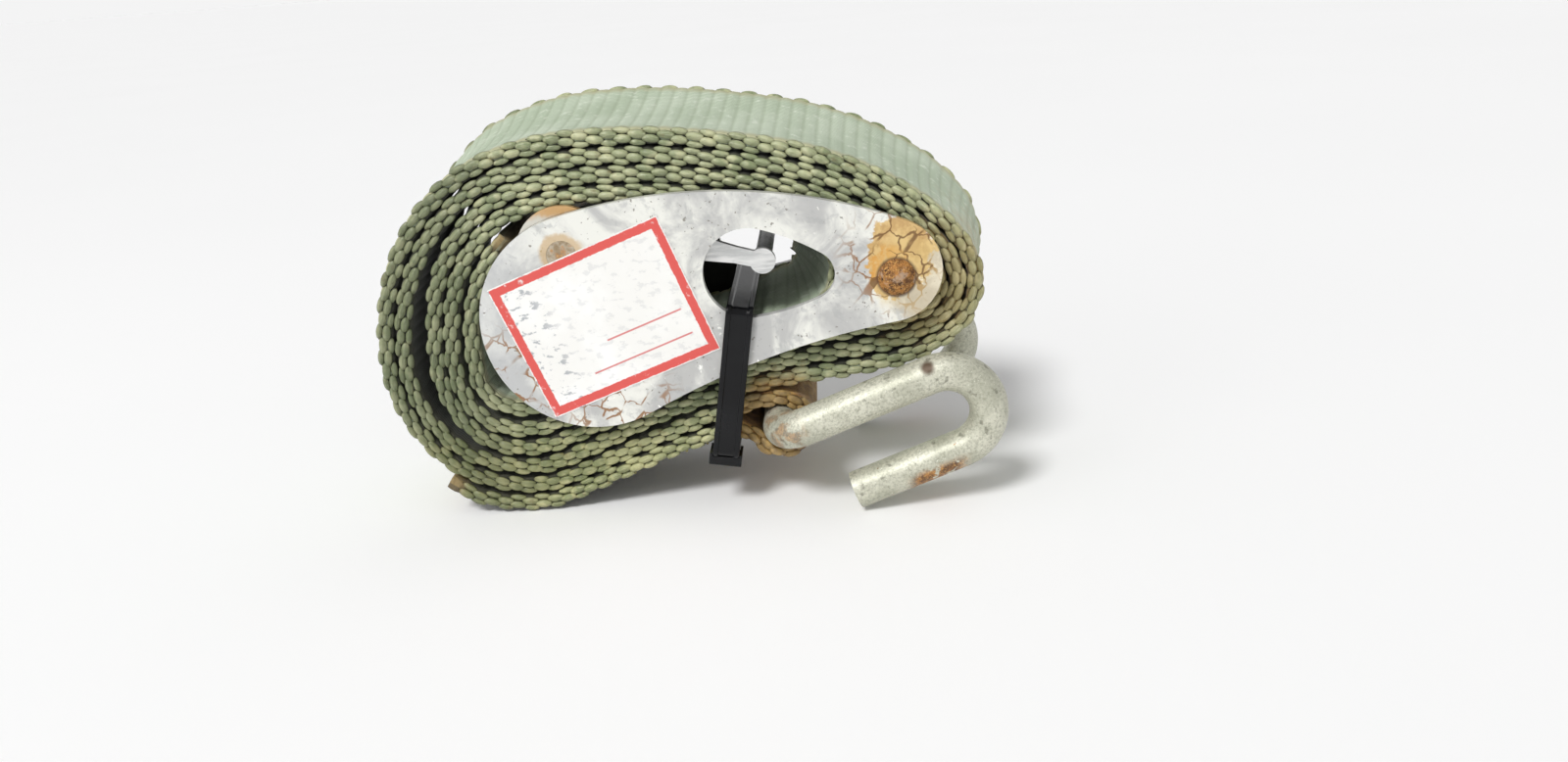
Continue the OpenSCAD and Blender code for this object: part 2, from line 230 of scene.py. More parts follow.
def rust_colour(m, scale=420):
    spots = m.noise(scale, 5, 0.65)
    fine = m.noise(scale * 4, 3, 0.6)
    brown = m.mix(m.step(spots, 0.38, 0.62), srgb(96, 62, 34), srgb(176, 122, 62))
    return m.tint(brown, srgb(212, 168, 96), m.step(fine, 0.5, 0.75))


def plate_veins(m):
    """Thin cracks, and the patches of the plate that they keep to."""
    bend = m.vector("SUBTRACT", m.noise(160, 3), (0.5, 0.5, 0.5))
    bent = m.vector("ADD", m.at, m.vector("MULTIPLY", bend, (0.006, 0, 0.006)))
    vein = m.times(m.step(m.cracks(210, bent), 0.06, 0.02), m.step(m.noise(120, 2), 0.4, 0.5))
    below_label = m.spot(-18, 29, 9, 19)
    round_end = m.spot(-47, 40, 8, 17)
    by_pin = m.spot(55, 66, 9, 18)
    return m.times(m.most(m.most(below_label, round_end), by_pin), vein)


def plate_material():
    m = Shader("weathered_aluminium", 0.42, 0.45)
    cloud = m.noise(70, 5, 0.6, warp=0.6)
    blotch = m.noise(190, 4, 0.65, warp=0.4)
    speck = m.noise(900, 2, 0.5)
    base = m.mix(m.step(cloud, 0.38, 0.6), srgb(190, 190, 188), srgb(236, 236, 229))
    base = m.tint(base, srgb(166, 168, 168), m.step(blotch, 0.55, 0.64), 0.4)
    base = m.tint(base, srgb(250, 250, 245), m.step(blotch, 0.36, 0.3))
    # Greyer by the big end, where the label leaves the plate bare
    base = m.tint(base, srgb(196, 198, 199), m.step(m.axis("X"), -30 * MM, -48 * MM), 0.55)
    base = m.tint(base, srgb(112, 104, 92), m.step(speck, 0.68, 0.74), 0.75)
    veins = plate_veins(m)
    base = m.tint(base, srgb(146, 100, 52), veins, 0.9)
    # Yellow rust stain by the anchor pin, orange in its middle
    edge = m.wobble(0.012, 190, 4, 0.6)
    stain = m.most(m.spot(56.4, 69.2, 7.8, 8.8, edge), m.spot(53, 62.6, 5.8, 6.6, edge))
    deep = m.step(m.noise(260, 5, 0.65), 0.4, 0.62)
    yellow = m.mix(deep, srgb(214, 180, 112), srgb(188, 146, 76))
    orange = m.times(m.spot(52.6, 64, 4.5, 6.8), m.step(m.noise(330, 3), 0.4, 0.55))
    base = m.tint(base, m.tint(yellow, srgb(208, 144, 20), orange), stain, 0.92)
    base = m.tint(base, srgb(222, 196, 132), m.spot(60, 60, 8, 13.5, edge), 0.4)
    # A dark ring of painted shade round the anchor pin's head, a faint stain round the lever pin, veins
    # over the stain
    base = m.tint(base, srgb(92, 66, 44), m.spot(*ANCHOR_PIN_AT, 4.8, 5.6), 0.8)
    faint = m.spot(*LEVER_PIN_AT, 4.8, 6.4, m.times(edge, 0.4))
    base = m.tint(base, srgb(200, 166, 110), faint, 0.7)
    base = m.tint(base, srgb(96, 60, 32), m.times(veins, stain), 0.8)
    # The inner faces between the plates are painted near black as painted shade, and are not metallic
    # there
    inner_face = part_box("rear_side_plate")[0].y
    inside = m.step(m.absolute(m.axis("Y")), inner_face + 0.25 * MM, inner_face + 0.05 * MM)
    painted_inner_shade = m.mix(m.noise(90, 4), srgb(26, 26, 22), srgb(58, 58, 50))
    m.colour(m.mix(inside, base, painted_inner_shade))
    m.metal(m.times(m.minus(1.0, m.most(stain, inside)), 0.35))
    m.rough(m.plus(m.times(blotch, 0.35), 0.3))
    m.bump(m.noise(650, 4, 0.6), 0.12, 0.6, m.bump(cloud, 0.4, 0.3))
    return m.material


def zinc_material():
    m = Shader("galvanised_steel", 0.5, 0.55)
    grain = m.noise(1500, 4, 0.7)
    cloud = m.noise(85, 4, 0.6)
    pale = m.mix(m.step(cloud, 0.35, 0.65), srgb(184, 184, 166), srgb(214, 213, 196))
    base = m.mix(m.step(grain, 0.25, 0.6), srgb(152, 152, 134), pale)
    base = m.tint(base, srgb(240, 241, 230), m.step(m.noise(2600, 2, 0.5), 0.66, 0.74))
    base = m.tint(base, srgb(104, 102, 88), m.step(m.noise(330, 3), 0.62, 0.7), 0.6)
    # Rust on the underside of the tips, in the loop and as odd spots
    x = m.axis("X")
    depth = m.minus(m.axis("Z"), m.times(x, PRONG_SLOPE))
    tips = m.times(m.step(depth, -9.8 * MM, -12.5 * MM), m.step(x, 54 * MM, 58 * MM))
    tips = m.times(tips, m.step(x, 72 * MM, 67 * MM))
    tips = m.times(tips, m.step(m.noise(380, 4, 0.6), 0.38, 0.44))
    spots = m.most(tips, m.step(m.noise(300, 3), 0.73, 0.76))
    loop = m.times(m.spot(22.5, 21.1, 5, 9), m.step(m.noise(240, 3), 0.48, 0.6))
    base = m.tint(base, rust_colour(m, 500), m.most(spots, m.times(loop, 0.55)))
    # One dark pit on the near shank's bend
    base = m.tint(base, srgb(84, 66, 48), m.spot(61, 38.5, 1.2, 2.6, y=-33))
    m.colour(base)
    m.metal(m.times(m.minus(1.0, spots), 0.3))
    m.rough(m.plus(m.times(grain, 0.3), 0.3))
    m.bump(grain, 0.14, 0.55, m.bump(m.noise(240, 4, 0.6), 0.45, 0.5))
    return m.material


def rusty_material(name="rusty_steel", bright=0.0):
    m = Shader(name, 0.8, 0.1)
    base = rust_colour(m, 560)
    base = m.tint(base, srgb(176, 152, 128), m.step(m.noise(330, 3), 0.54, 0.66), 0.7 + bright)
    base = m.tint(base, srgb(64, 44, 30), m.step(m.noise(900, 3), 0.62, 0.7))
    m.colour(base)
    m.bump(m.noise(900, 4, 0.7), 0.25, 0.9)
    return m.material


def worn_metal(name, dark, pale, rough=0.35, metal=0.8, scale=400, rust=0.0):
    m = Shader(name, rough, metal)
    base = m.mix(m.step(m.noise(scale, 5, 0.6), 0.35, 0.68), dark, pale)
    if rust:
        stains = m.step(m.noise(scale * 0.5, 4, 0.6), 0.56, 0.66)
        base = m.tint(base, rust_colour(m, scale), stains, rust)
    m.colour(base)
    m.rough(m.plus(m.times(m.noise(scale * 2, 3), 0.3), rough - 0.12))
    m.bump(m.noise(scale * 3, 3, 0.6), 0.08, 0.5)
    return m.material


def lever_material():
    m = Shader("lever_alloy", 0.32, 0.6)
    scratch = m.noise(300, 4, 0.6, stretch=(0.35, 1, 2.2))
    base = m.mix(m.step(scratch, 0.35, 0.65), srgb(190, 191, 190), srgb(228, 228, 226))
    # The round lobe behind the plate is cream, and rusty along its top
    height = m.plus(m.axis("Z"), m.times(m.noise(260, 4), 6 * MM))
    top = m.step(height, 83.5 * MM, 86.5 * MM)
    lobe_colour = m.mix(top, srgb(224, 220, 208), srgb(206, 158, 88))
    base = m.tint(base, lobe_colour, m.step(m.axis("X"), -14 * MM, -20 * MM), 0.85)
    m.colour(base)
    m.bump(m.noise(900, 3, 0.6), 0.06, 0.4)
    return m.material


# ---------------------------------------------------------------- thread, label, nylon
LABEL_ANGLE = math.radians(20)
LABEL_SIZE = (48, 37.8)
RULED_LINES = ((-5.2, -2.0), (-12.0, -9.0))  # height from the label's middle, left end; in mm


def thread_material():
    m = Shader("sewing_thread", 0.8)
    m.colour(m.mix(m.noise(1200, 3), srgb(120, 112, 66), srgb(182, 170, 112)))
    m.bump(m.noise(2400, 2, 0.6, stretch=(1, 0.5, 1)), 0.15, 0.8)
    return m.material


def label_material():
    m = Shader("label_paper", 0.7)
    low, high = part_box("inspection_label")
    middle = (low + high) / 2
    along = Vector((math.cos(LABEL_ANGLE), 0, math.sin(LABEL_ANGLE)))
    upward = Vector((-math.sin(LABEL_ANGLE), 0, math.cos(LABEL_ANGLE)))
    x = m.minus(m.vector("DOT_PRODUCT", m.at, along), middle.dot(along))
    z = m.minus(m.vector("DOT_PRODUCT", m.at, upward), middle.dot(upward))
    paper = m.mix(m.step(m.noise(60, 4), 0.4, 0.7), srgb(236, 235, 231), srgb(243, 243, 241))
    # Grey smudges where a form is filled in by hand, and the plain ruled lines of the form
    smear = m.step(m.noise(330, 4, 0.6, stretch=(1, 1, 1.6)), 0.54, 0.62)
    left = m.most(m.step(x, -9 * MM, -16 * MM), 0.25)
    paper = m.tint(paper, srgb(150, 154, 160), m.times(smear, left), 0.8)
    for height, start in RULED_LINES:
        line = m.step(m.absolute(m.minus(z, height * MM)), 0.3 * MM, 0.16 * MM)
        reach = m.times(m.step(x, start * MM, (start + 0.4) * MM), m.step(x, 19.5 * MM, 19 * MM))
        paper = m.tint(paper, srgb(204, 92, 88), m.times(line, reach), 0.85)
    # The red border, worn away here and there
    inset_x = m.minus(LABEL_SIZE[0] / 2 * MM, m.absolute(x))
    inset_z = m.minus(LABEL_SIZE[1] / 2 * MM, m.absolute(z))
    inset = m.plus(m.math("MINIMUM", inset_x, inset_z), m.wobble(0.0005, 900, 3))
    band = m.times(m.step(inset, 0.2 * MM, 0.4 * MM), m.step(inset, 2.6 * MM, 2.4 * MM))
    faded = m.times(band, m.step(m.noise(260, 4, 0.65), 0.25, 0.4))
    m.colour(m.mix(faded, paper, srgb(216, 88, 82)))
    m.bump(m.noise(240, 4, 0.6), 0.12, 0.35)
    return m.material


def nylon_material():
    m = Shader("black_nylon", 0.28)
    dust = m.noise(1300, 4, 0.7)
    base = m.mix(m.step(m.noise(60, 3), 0.3, 0.7), srgb(10, 10, 12), srgb(20, 21, 23))
    base = m.tint(base, srgb(170, 172, 172), m.step(dust, 0.72, 0.77), 0.6)
    m.colour(base)
    m.rough(m.plus(m.times(m.noise(300, 3), 0.2), 0.08))
    m.bump(m.noise(700, 3, 0.6), 0.05, 0.4)
    m.bsdf.inputs["Specular IOR Level"].default_value = 0.25
    return m.material


# ---------------------------------------------------------------- the strap's route
# It repeats the CAD strap's: the tail, the hook loop, the lead, the turns and the folded end.
# Where the far edge lies elsewhere than the near one, the flare says by how much.
HALF_W = 22.0
BAR_AT = (22.5, 21.12)  # the hook's bar, which the strap's loop goes round
LOOP_R = 7.45
LOOP_ANGLES = range(-120, 91, 30)
CURVE_STEPS = 10
TAIL = [(-70, 9.5), (-64, 5.5), (-57, 3.1), (-49, 2.2), (-41, 2.8), (-32, 6), (-20, 10.8),
        (-5, 16.5), (4, 19.3), (10, 20.8), (14.4, 18.8)]
LEAD = [(14, 27.4), (4, 24.7), (-6, 21.3), (-21, 15.3), (-33, 10.6)]
STATIONS = [  # x, z, direction of the next layer in degrees, spacing, flare, parting
    (-43, 7.5, 96, 5.5, 0, 0),
    (-56, 8.8, 80, 5.5, 0, 0),
    (-67.5, 14.5, 56, 5.5, 0, 0.5),
    (-76, 25, 30, 5.5, 0, 0.8),
    (-80.6, 39, 4, 5.7, 0, 1),
    (-80, 53, -4, 5.7, 0, 1),
    (-75.2, 69, -23, 5.4, 1.5, 0.6),
    (-66, 83, -44, 5.1, 4, 0.3),
    (-52, 93.8, -64, 4.8, 5.5, 0),
    (-34, 99.2, -79, 4.7, 6, 0),
    (-12, 100, -93, 4.7, 6, 0),
    (12, 97.4, -99, 4.7, 6, 0),
    (35, 92.4, -105, 4.7, 6, 0),
    (51, 85.6, -116, 4.7, 6, 0),
    (63.6, 77, -130, 4.7, 6, 0),
    (71.6, 68, -150, 4.7, 6, 0),
    (75, 58, -178, 4.7, 5, 0),
    (71.5, 47.6, 144, 4.7, 3, 0),
    (61, 40, 116, 4.9, 1, 0),
    (45, 36.2, 98, 5.2, 0, 0),
    (28, 34.6, 94, 4.8, 0, 0),
    (8, 31.2, 104, 4.7, 0, 0),
    (-13, 24.6, 110, 4.75, 0, 0),
    (-29, 17.6, 108, 5.1, 0, 0),
]
LAST_STATION = 10  # where the last, partial turn gives way to the inner end
INNER = [  # x, z and, through the plate's hole, the flare's x and z
    (2, 84.9), (14, 82.3), (26, 78.5), (35.5, 72.3, -8, 0), (39.5, 64.5, -11, 0),
    (38.2, 57, -10, 2), (33.5, 52, -5, 4), (25, 49.9, 0, 3), (12, 47.4), (-3, 43.2),
    (-18, 38.2), (-33, 33), (-44, 29.8), (-52, 31.2), (-56.8, 36), (-57.6, 43.5),
    (-57, 53), (-54.4, 62.5), (-50, 70.3), (-44.5, 76.4)]
# One value for each turn, from the outermost in
LAYER_SHIFT = (0, -0.9, 1.7, 0.5)
FLARE_OF_TURN = (1.0, 0.88, 0.92, 0.82)
SQUEEZE = (0, 0.6, 2.2, 2.7)
SQUEEZED = range(6, 9)  # the stations where the far edges are pressed outwards by SQUEEZE


def turn_points(turn):
    """The points of one turn, each as (x, z, flare x, flare z), all in mm."""
    last_turn = turn == len(LAYER_SHIFT) - 1
    stations = STATIONS[:LAST_STATION + 1] if last_turn else STATIONS
    points = []
    for i, (x, z, angle, gap, flare, part) in enumerate(stations):
        c, s = math.cos(math.radians(angle)), math.sin(math.radians(angle))
        out = flare * FLARE_OF_TURN[turn] + (SQUEEZE[turn] if i in SQUEEZED else 0)
        inward = turn * gap + LAYER_SHIFT[turn] * part
        points.append((x + inward * c, z + inward * s, -c * out, -s * out))
    return points


def route_points():
    points = [(x, z, 0, 0) for x, z in TAIL]
    for angle in LOOP_ANGLES:
        a = math.radians(angle)
        points.append((BAR_AT[0] + LOOP_R * math.cos(a), BAR_AT[1] + LOOP_R * math.sin(a), 0, 0))
    points += [(x, z, 0, 0) for x, z in LEAD]
    for turn in range(len(LAYER_SHIFT)):
        points += turn_points(turn)
    return points + [(*p, 0, 0)[:4] for p in INNER]


def smooth_line(points, steps):
    """The CAD's curve through the points; the flare turns smoothly with it."""
    p = [Vector(q[:2]) for q in points]
    flare = [Vector(q[2:]) for q in points]
    last = len(p) - 1

    def tangent(i):
        if i == 0 or i == last:
            d = p[1] - p[0] if i == 0 else p[last] - p[last - 1]
            return d.normalized()
        a, b = (p[i] - p[i - 1]).length, (p[i + 1] - p[i]).length
        return ((p[i] - p[i - 1]) / a * b + (p[i + 1] - p[i]) / b * a) / (a + b)

    line = []
    for i in range(last):
        d = (p[i + 1] - p[i]).length
        for step in range(steps):
            t = step / steps
            t2, t3 = t * t, t * t * t
            spot = ((2 * t3 - 3 * t2 + 1) * p[i] + (t3 - 2 * t2 + t) * d * tangent(i)
                    + (3 * t2 - 2 * t3) * p[i + 1] + (t3 - t2) * d * tangent(i + 1))
            line.append((spot, flare[i].lerp(flare[i + 1], 3 * t2 - 2 * t3)))
    return line + [(p[last], flare[last])]


class Route:
    """The strap's middle line, by distance along it in mm."""

    def __init__(self):
        self.line = smooth_line(route_points(), CURVE_STEPS)
        self.far = [0.0]
        for (a, _), (b, _) in zip(self.line, self.line[1:]):
            self.far.append(self.far[-1] + (b - a).length)
        self.length = self.far[-1]
        self.hint = 0
        first = len(TAIL) + len(LOOP_ANGLES) + len(LEAD)
        self.turn_start = [self.far[CURVE_STEPS * (first + len(STATIONS) * turn)]
                           for turn in range(len(LAYER_SHIFT))]

    def at(self, s):
        """Place, normal on the left and flare at s."""
        s = min(max(s, 0.0), self.length - 1e-6)
        i = self.hint if self.far[self.hint] <= s else 0
        while self.far[i + 1] < s:
            i += 1
        self.hint = i
        t = (s - self.far[i]) / (self.far[i + 1] - self.far[i])
        (a, fa), (b, fb) = self.line[i], self.line[i + 1]
        before = self.line[max(i - 1, 0)][0]
        after = self.line[min(i + 2, len(self.line) - 1)][0]
        tangent = (b - before).normalized().lerp((after - a).normalized(), t).normalized()
        return a.lerp(b, t), Vector((-tangent.y, tangent.x)), fa.lerp(fb, t)


# ---------------------------------------------------------------- the strap's shape
RIB = 3.55
ROWS_PER_RIB = 6
RIB_VALLEY = 1.84  # half the strap's thickness between ribs
RIB_RISE = 0.26
FACE_SHIFT = 0.1  # the inner face's V lies this much above the outer face's

KNUCKLE = 2 * RIB
KNUCKLE_HALF_L = 2.6
KNUCKLE_H = 0.95
KNUCKLE_ROWS = (  # place in the thickness, start in knuckles, half width, place across the strap
    (1.5, 0.5, 0.95, 20.95),
    (0.52, 0.0, 1.16, 21.4),
    (-0.52, 0.5, 1.16, 21.4),
    (-1.5, 0.0, 0.95, 20.95))
RINGS = 7
SIDES = 7
YARN_ROUND = 0.006  # the V that one turn round a spindle takes


def add_mesh(name, verts, faces, *uv_maps, smooth=True):
    mesh = bpy.data.meshes.new(name)
    mesh.from_pydata(verts, [], faces)
    for index, uvs in enumerate(uv_maps):
        layer = mesh.uv_layers.new(name="UVMap" if index == 0 else "Spindle")
        for loop in mesh.loops:
            layer.data[loop.index].uv = uvs[loop.vertex_index]
    mesh.polygons.foreach_set("use_smooth", [smooth] * len(mesh.polygons))
    mesh.update()
    obj = bpy.data.objects.new(name, mesh)
    bpy.context.scene.collection.objects.link(obj)
    return obj


def strap_point(place, y, off):
    """The point in metres at a place of Route.at(), y across the strap and off to the left."""
    spot, normal, flare = place
    lean = ((y + HALF_W) / (2 * HALF_W)) ** 2
    q = spot + normal * off + flare * lean
    return (q.x * MM, y * MM, q.y * MM)


def build_strap(route):
    """The woven strip: rounded ribs across both faces, thinner at its edges."""
    across = [-21.2, -20.6, -19, -15.5, -11, -5.5, 0, 5.5, 11, 15.5, 19, 20.6, 21.2]
    ring = [(y, 1) for y in across] + [(21.4, 0)] + [(y, -1) for y in reversed(across)] + [(-21.4, 0)]
    rows = int(route.length / (RIB / ROWS_PER_RIB))
    verts, uvs, faces = [], [], []
    for j in range(rows + 1):
        s = route.length * j / rows
        place = route.at(s)
        ridge = abs(math.sin(math.pi * s / RIB))
        for y, side in ring:
            edge_drop = 0.35 if abs(y) > 21 else (0.12 if abs(y) > 20 else 0)
            off = side * (RIB_VALLEY + RIB_RISE * ridge - edge_drop)
            verts.append(strap_point(place, y, off))
            uvs.append((s * MM, y * MM + (FACE_SHIFT if side < 0 else 0)))
    n = len(ring)
    for j in range(rows):
        for k in range(n):
            a, b = j * n + k, j * n + (k + 1) % n
            faces.append((a, b, b + n, a + n))
    faces.append(tuple(range(n - 1, -1, -1)))
    faces.append(tuple(rows * n + k for k in range(n)))
    return add_mesh("webbing", verts, faces, uvs)


def weld_points(obj):
    """Joins the spindles' end rings, which have no size, into points."""
    mesh = bmesh.new()
    mesh.from_mesh(obj.data)
    bmesh.ops.remove_doubles(mesh, verts=mesh.verts, dist=1e-6)
    bmesh.ops.recalc_face_normals(mesh, faces=mesh.faces)
    mesh.to_mesh(obj.data)
    mesh.free()


def build_knuckles(route):
    """The loops of yarn along both edges: four rows of spindles, laid like scales.
    Their second UV map says how near a point is to the spindle's end and how far out it is."""
    verts, uvs, shapes, faces = [], [], [], []

    def add_spindle(s, half_l, side, off, half_w, y, tilt, number):
        first = len(verts)
        for r in range(RINGS):
            t = -1 + 2 * r / (RINGS - 1)
            place = route.at(s + t * half_l)
            wide = max(1 - t ** 2, 0.0) ** 0.66
            for k in range(SIDES):
                a = 2 * math.pi * k / SIDES
                out = (0.12 + 0.88 * math.cos(a)) * wide * KNUCKLE_H
                thick = off + t * tilt * half_l + math.sin(a) * half_w * wide
                verts.append(strap_point(place, side * (y + out), thick))
                uvs.append(((s + t * half_l) * MM, k / SIDES * YARN_ROUND + number % 3))
                shapes.append((abs(t), 0.5 + 0.5 * math.cos(a) if side < 0 else 1))
        for r in range(RINGS - 1):
            for k in range(SIDES):
                a, b = first + r * SIDES + k, first + r * SIDES + (k + 1) % SIDES
                face = (a, b, b + SIDES, a + SIDES)
                faces.append(face if side < 0 else face[::-1])

    for side in (-1, 1):
        for off, phase, half_w, y in KNUCKLE_ROWS:
            for i in range(int(route.length / KNUCKLE)):
                s = (i + 0.3 + phase) * KNUCKLE + random.uniform(-0.2, 0.2)
                half_l = KNUCKLE_HALF_L * random.uniform(0.94, 1.06)
                if s < half_l or s > route.length - half_l:
                    continue
                tilt = 0.07 * (1 + random.uniform(-0.6, 0.6)) * side
                swell = random.uniform(0.93, 1.07)
                add_spindle(s, half_l, side, off, half_w * swell, y, tilt, i)
    obj = add_mesh("webbing_edge_loops", verts, faces, uvs, shapes)
    weld_points(obj)
    return obj


# ---------------------------------------------------------------- the strap's materials
# Painted shade for the creases along the strap's edges and round the knuckles
CREASE_SHADE = srgb(30, 32, 18)
HIDDEN_PART_OF_LAST_TURN = 150  # mm of it that stay painted dark, as painted shade, before the folded end


def webbing_tints(m, base):
    """Stains that both webbing materials share, by place: rust at the hook and the narrow end,
    yellow below, brown heat-sealed ends."""
    rough_edge = m.wobble(0.02, 170, 4, 0.6)
    low = m.step(m.plus(m.axis("Z"), rough_edge), 34 * MM, 12 * MM)
    base = m.tint(base, m.mix(1.0, base, srgb(240, 226, 168), "MULTIPLY"), low, 0.4)
    rust = m.mix(m.step(m.noise(420, 5, 0.65), 0.32, 0.72), srgb(138, 92, 44), srgb(202, 158, 86))
    base = m.tint(base, rust, m.spot(22.5, 20, 10.5, 18.5, m.times(rough_edge, 0.6)), 0.72)
    base = m.tint(base, srgb(176, 142, 78), m.spot(63, 58, 8, 22, rough_edge), 0.45)
    s = m.axis("X", m.uv())
    length = ROUTE.length * MM
    first_end = m.step(s, 6 * MM, 1.5 * MM)
    last_end = m.step(s, length - 6 * MM, length - 1.5 * MM)
    return m.tint(base, srgb(158, 136, 92), m.most(first_end, last_end), 0.8)


def covered_shade_mask(m, s, v):
    """1 on the faces that the roll covers: all but the outermost turn's outer face. These faces get
    painted shade, near black.
    """
    first, second = (start * MM for start in ROUTE.turn_start[:2])
    folded_end = (ROUTE.turn_start[-1] + HIDDEN_PART_OF_LAST_TURN) * MM
    inner_face = m.step(v, FACE_SHIFT * 0.5, FACE_SHIFT * 0.6)
    before_first = m.step(s, first, first - 10 * MM)
    past_first = m.step(s, second - 4 * MM, second + 4 * MM)
    covered = m.most(past_first, m.most(inner_face, before_first))
    return m.times(covered, m.step(s, folded_end + 30 * MM, folded_end))


def webbing_material():
    m = Shader("webbing_weave", 0.75)
    uv = m.uv()
    s, v = m.axis("X", uv), m.axis("Y", uv)
    half = FACE_SHIFT / 2
    y = m.minus(m.math("MODULO", m.plus(v, half), FACE_SHIFT), half)
    wave = m.absolute(m.math("SINE", m.times(s, math.pi / (RIB * MM))))
    slant = m.times(m.math("PINGPONG", s, RIB * MM / 2), 0.6)
    thread = m.math("SINE", m.times(m.plus(y, slant), 2 * math.pi / (1.15 * MM)))
    thread = m.step(thread, -0.75, 0.55)
    mint = m.mix(m.step(m.noise(55, 4, 0.6), 0.35, 0.7), srgb(182, 197, 170), srgb(205, 217, 194))
    mint = m.tint(mint, srgb(224, 232, 214), m.step(m.noise(420, 3), 0.55, 0.75))
    # Darker in the valleys between the ribs: painted shade
    base = m.tint(mint, srgb(132, 146, 112), m.step(wave, 0.7, 0.0), 0.3)
    base = m.tint(base, srgb(128, 142, 112), m.minus(1.0, thread), 0.3)
    # Tan towards the edges; painted shade on the covered faces and along the edge behind the knuckles
    rim = m.plus(m.absolute(y), m.wobble(0.003, 210, 3))
    base = m.tint(base, srgb(178, 172, 128), m.step(rim, 16.5 * MM, 20.5 * MM), 0.7)
    base = m.tint(base, srgb(28, 31, 19), covered_shade_mask(m, s, v), 0.94)
    base = m.tint(base, CREASE_SHADE, m.step(m.absolute(y), 21.22 * MM, 21.3 * MM))
    m.colour(webbing_tints(m, base))
    m.bump(m.plus(m.times(thread, 0.6), m.times(m.noise(2600, 2), 0.4)), 0.25, 0.8)
    m.bsdf.inputs["Sheen Weight"].default_value = 0.15
    return m.material


def knuckle_material():
    m = Shader("webbing_yarn", 0.5)
    uv = m.uv()
    spindle = m.node("ShaderNodeUVMap", uv_map="Spindle").outputs["UV"]
    patch = m.noise(85, 3, 0.6)
    each = m.noise(230, 2, 0.5)
    base = m.mix(m.step(patch, 0.35, 0.68), srgb(132, 143, 102), srgb(180, 184, 142))
    base = m.tint(base, srgb(206, 206, 162), m.step(each, 0.5, 0.66), 0.7)
    base = m.tint(base, srgb(98, 108, 76), m.step(each, 0.45, 0.3), 0.5)
    streak = m.noise(1, 4, 0.65, at=m.vector("MULTIPLY", uv, (420, 2600, 1)))
    base = m.tint(base, srgb(212, 214, 182), m.step(streak, 0.48, 0.68), 0.55)
    base = m.tint(base, srgb(78, 84, 52), m.step(streak, 0.45, 0.3), 0.5)
    base = m.tint(base, srgb(124, 102, 62), m.step(m.noise(260, 4, 0.6), 0.6, 0.72), 0.5)
    # Darker towards the big end: painted shade over the left of the roll
    place = m.plus(m.axis("X"), m.times(m.noise(60, 3), 20 * MM))
    base = m.tint(base, srgb(74, 84, 54), m.step(place, -28 * MM, -52 * MM), 0.5)
    base = webbing_tints(m, base)
    # Painted shade in the creases: at the spindles' ends and where they sink into the edge
    tips = m.step(m.axis("X", spindle), 0.72, 0.95)
    roots = m.step(m.axis("Y", spindle), 0.62, 0.36)
    m.colour(m.tint(base, CREASE_SHADE, m.most(tips, roots), 0.85))
    m.rough(m.plus(m.times(streak, 0.3), 0.2))
    m.bump(streak, 0.35, 0.9)
    m.bsdf.inputs["Coat Weight"].default_value = 0.25
    m.bsdf.inputs["Coat Roughness"].default_value = 0.25
    return m.material


ROUTE = Route()
strap = build_strap(ROUTE)
strap.data.materials.append(webbing_material())
knuckles = build_knuckles(ROUTE)
knuckles.data.materials.append(knuckle_material())
for piece in (strap, knuckles):
    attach(piece, "housing")
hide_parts("webbing_strap")

# ---------------------------------------------------------------- cable tie
TIE_FOOT = Vector((7.2, 0, 14.7))
TIE_LEAN = 10
TIE_TOP = 42.2
TIE_HALF_Y = 28.9
TIE_HALF_W = 3.5
TIE_CORNER_R = 2.5


def build_tie():
    """The tie's band, with a raised rail along each edge, swept round its CAD path."""
    corner_y = TIE_HALF_Y - TIE_CORNER_R
    low, high = TIE_CORNER_R, TIE_TOP - TIE_CORNER_R
    path = []
    for quarter, at in enumerate(((corner_y, high), (-corner_y, high), (-corner_y, low), (corner_y, low))):
        for k in range(7):
            a = math.radians(90 * quarter + 15 * k)
            path.append((*at, math.cos(a), math.sin(a)))
    # (across, depth below the outside) of the band's section
    w = TIE_HALF_W
    section = [(-w, 0.25), (-w + 0.25, 0), (-w + 1.2, 0), (-w + 1.5, 0.4), (w - 1.5, 0.4), (w - 1.2, 0),
               (w - 0.25, 0), (w, 0.25), (w, 1.3), (w - 0.2, 1.5), (-w + 0.2, 1.5), (-w, 1.3)]
    turn = rotation(TIE_LEAN, "Y")
    verts, faces = [], []
    for y, z, c, s in path:
        for x, depth in section:
            r = TIE_CORNER_R - depth
            verts.append(tuple((TIE_FOOT + turn @ Vector((x, y + r * c, z + r * s))) * MM))
    n, count = len(section), len(path)
    for j in range(count):
        following = (j + 1) % count
        for k in range(n):
            beside = (k + 1) % n
            faces.append((j * n + k, following * n + k, following * n + beside, j * n + beside))
    return add_mesh("cable_tie", verts, faces, smooth=False)


def bevel(obj, width_mm, segments=2, angle=35):
    made = obj.modifiers.new("soft_edges", "BEVEL")
    made.width = width_mm * MM
    made.segments = segments
    made.limit_method = "ANGLE"
    made.angle_limit = math.radians(angle)


nylon = nylon_material()
tie = build_tie()
bevel(tie, 0.2, 2, 25)
tie.data.materials.append(nylon)
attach(tie, "housing")
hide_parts("cable_tie_band")

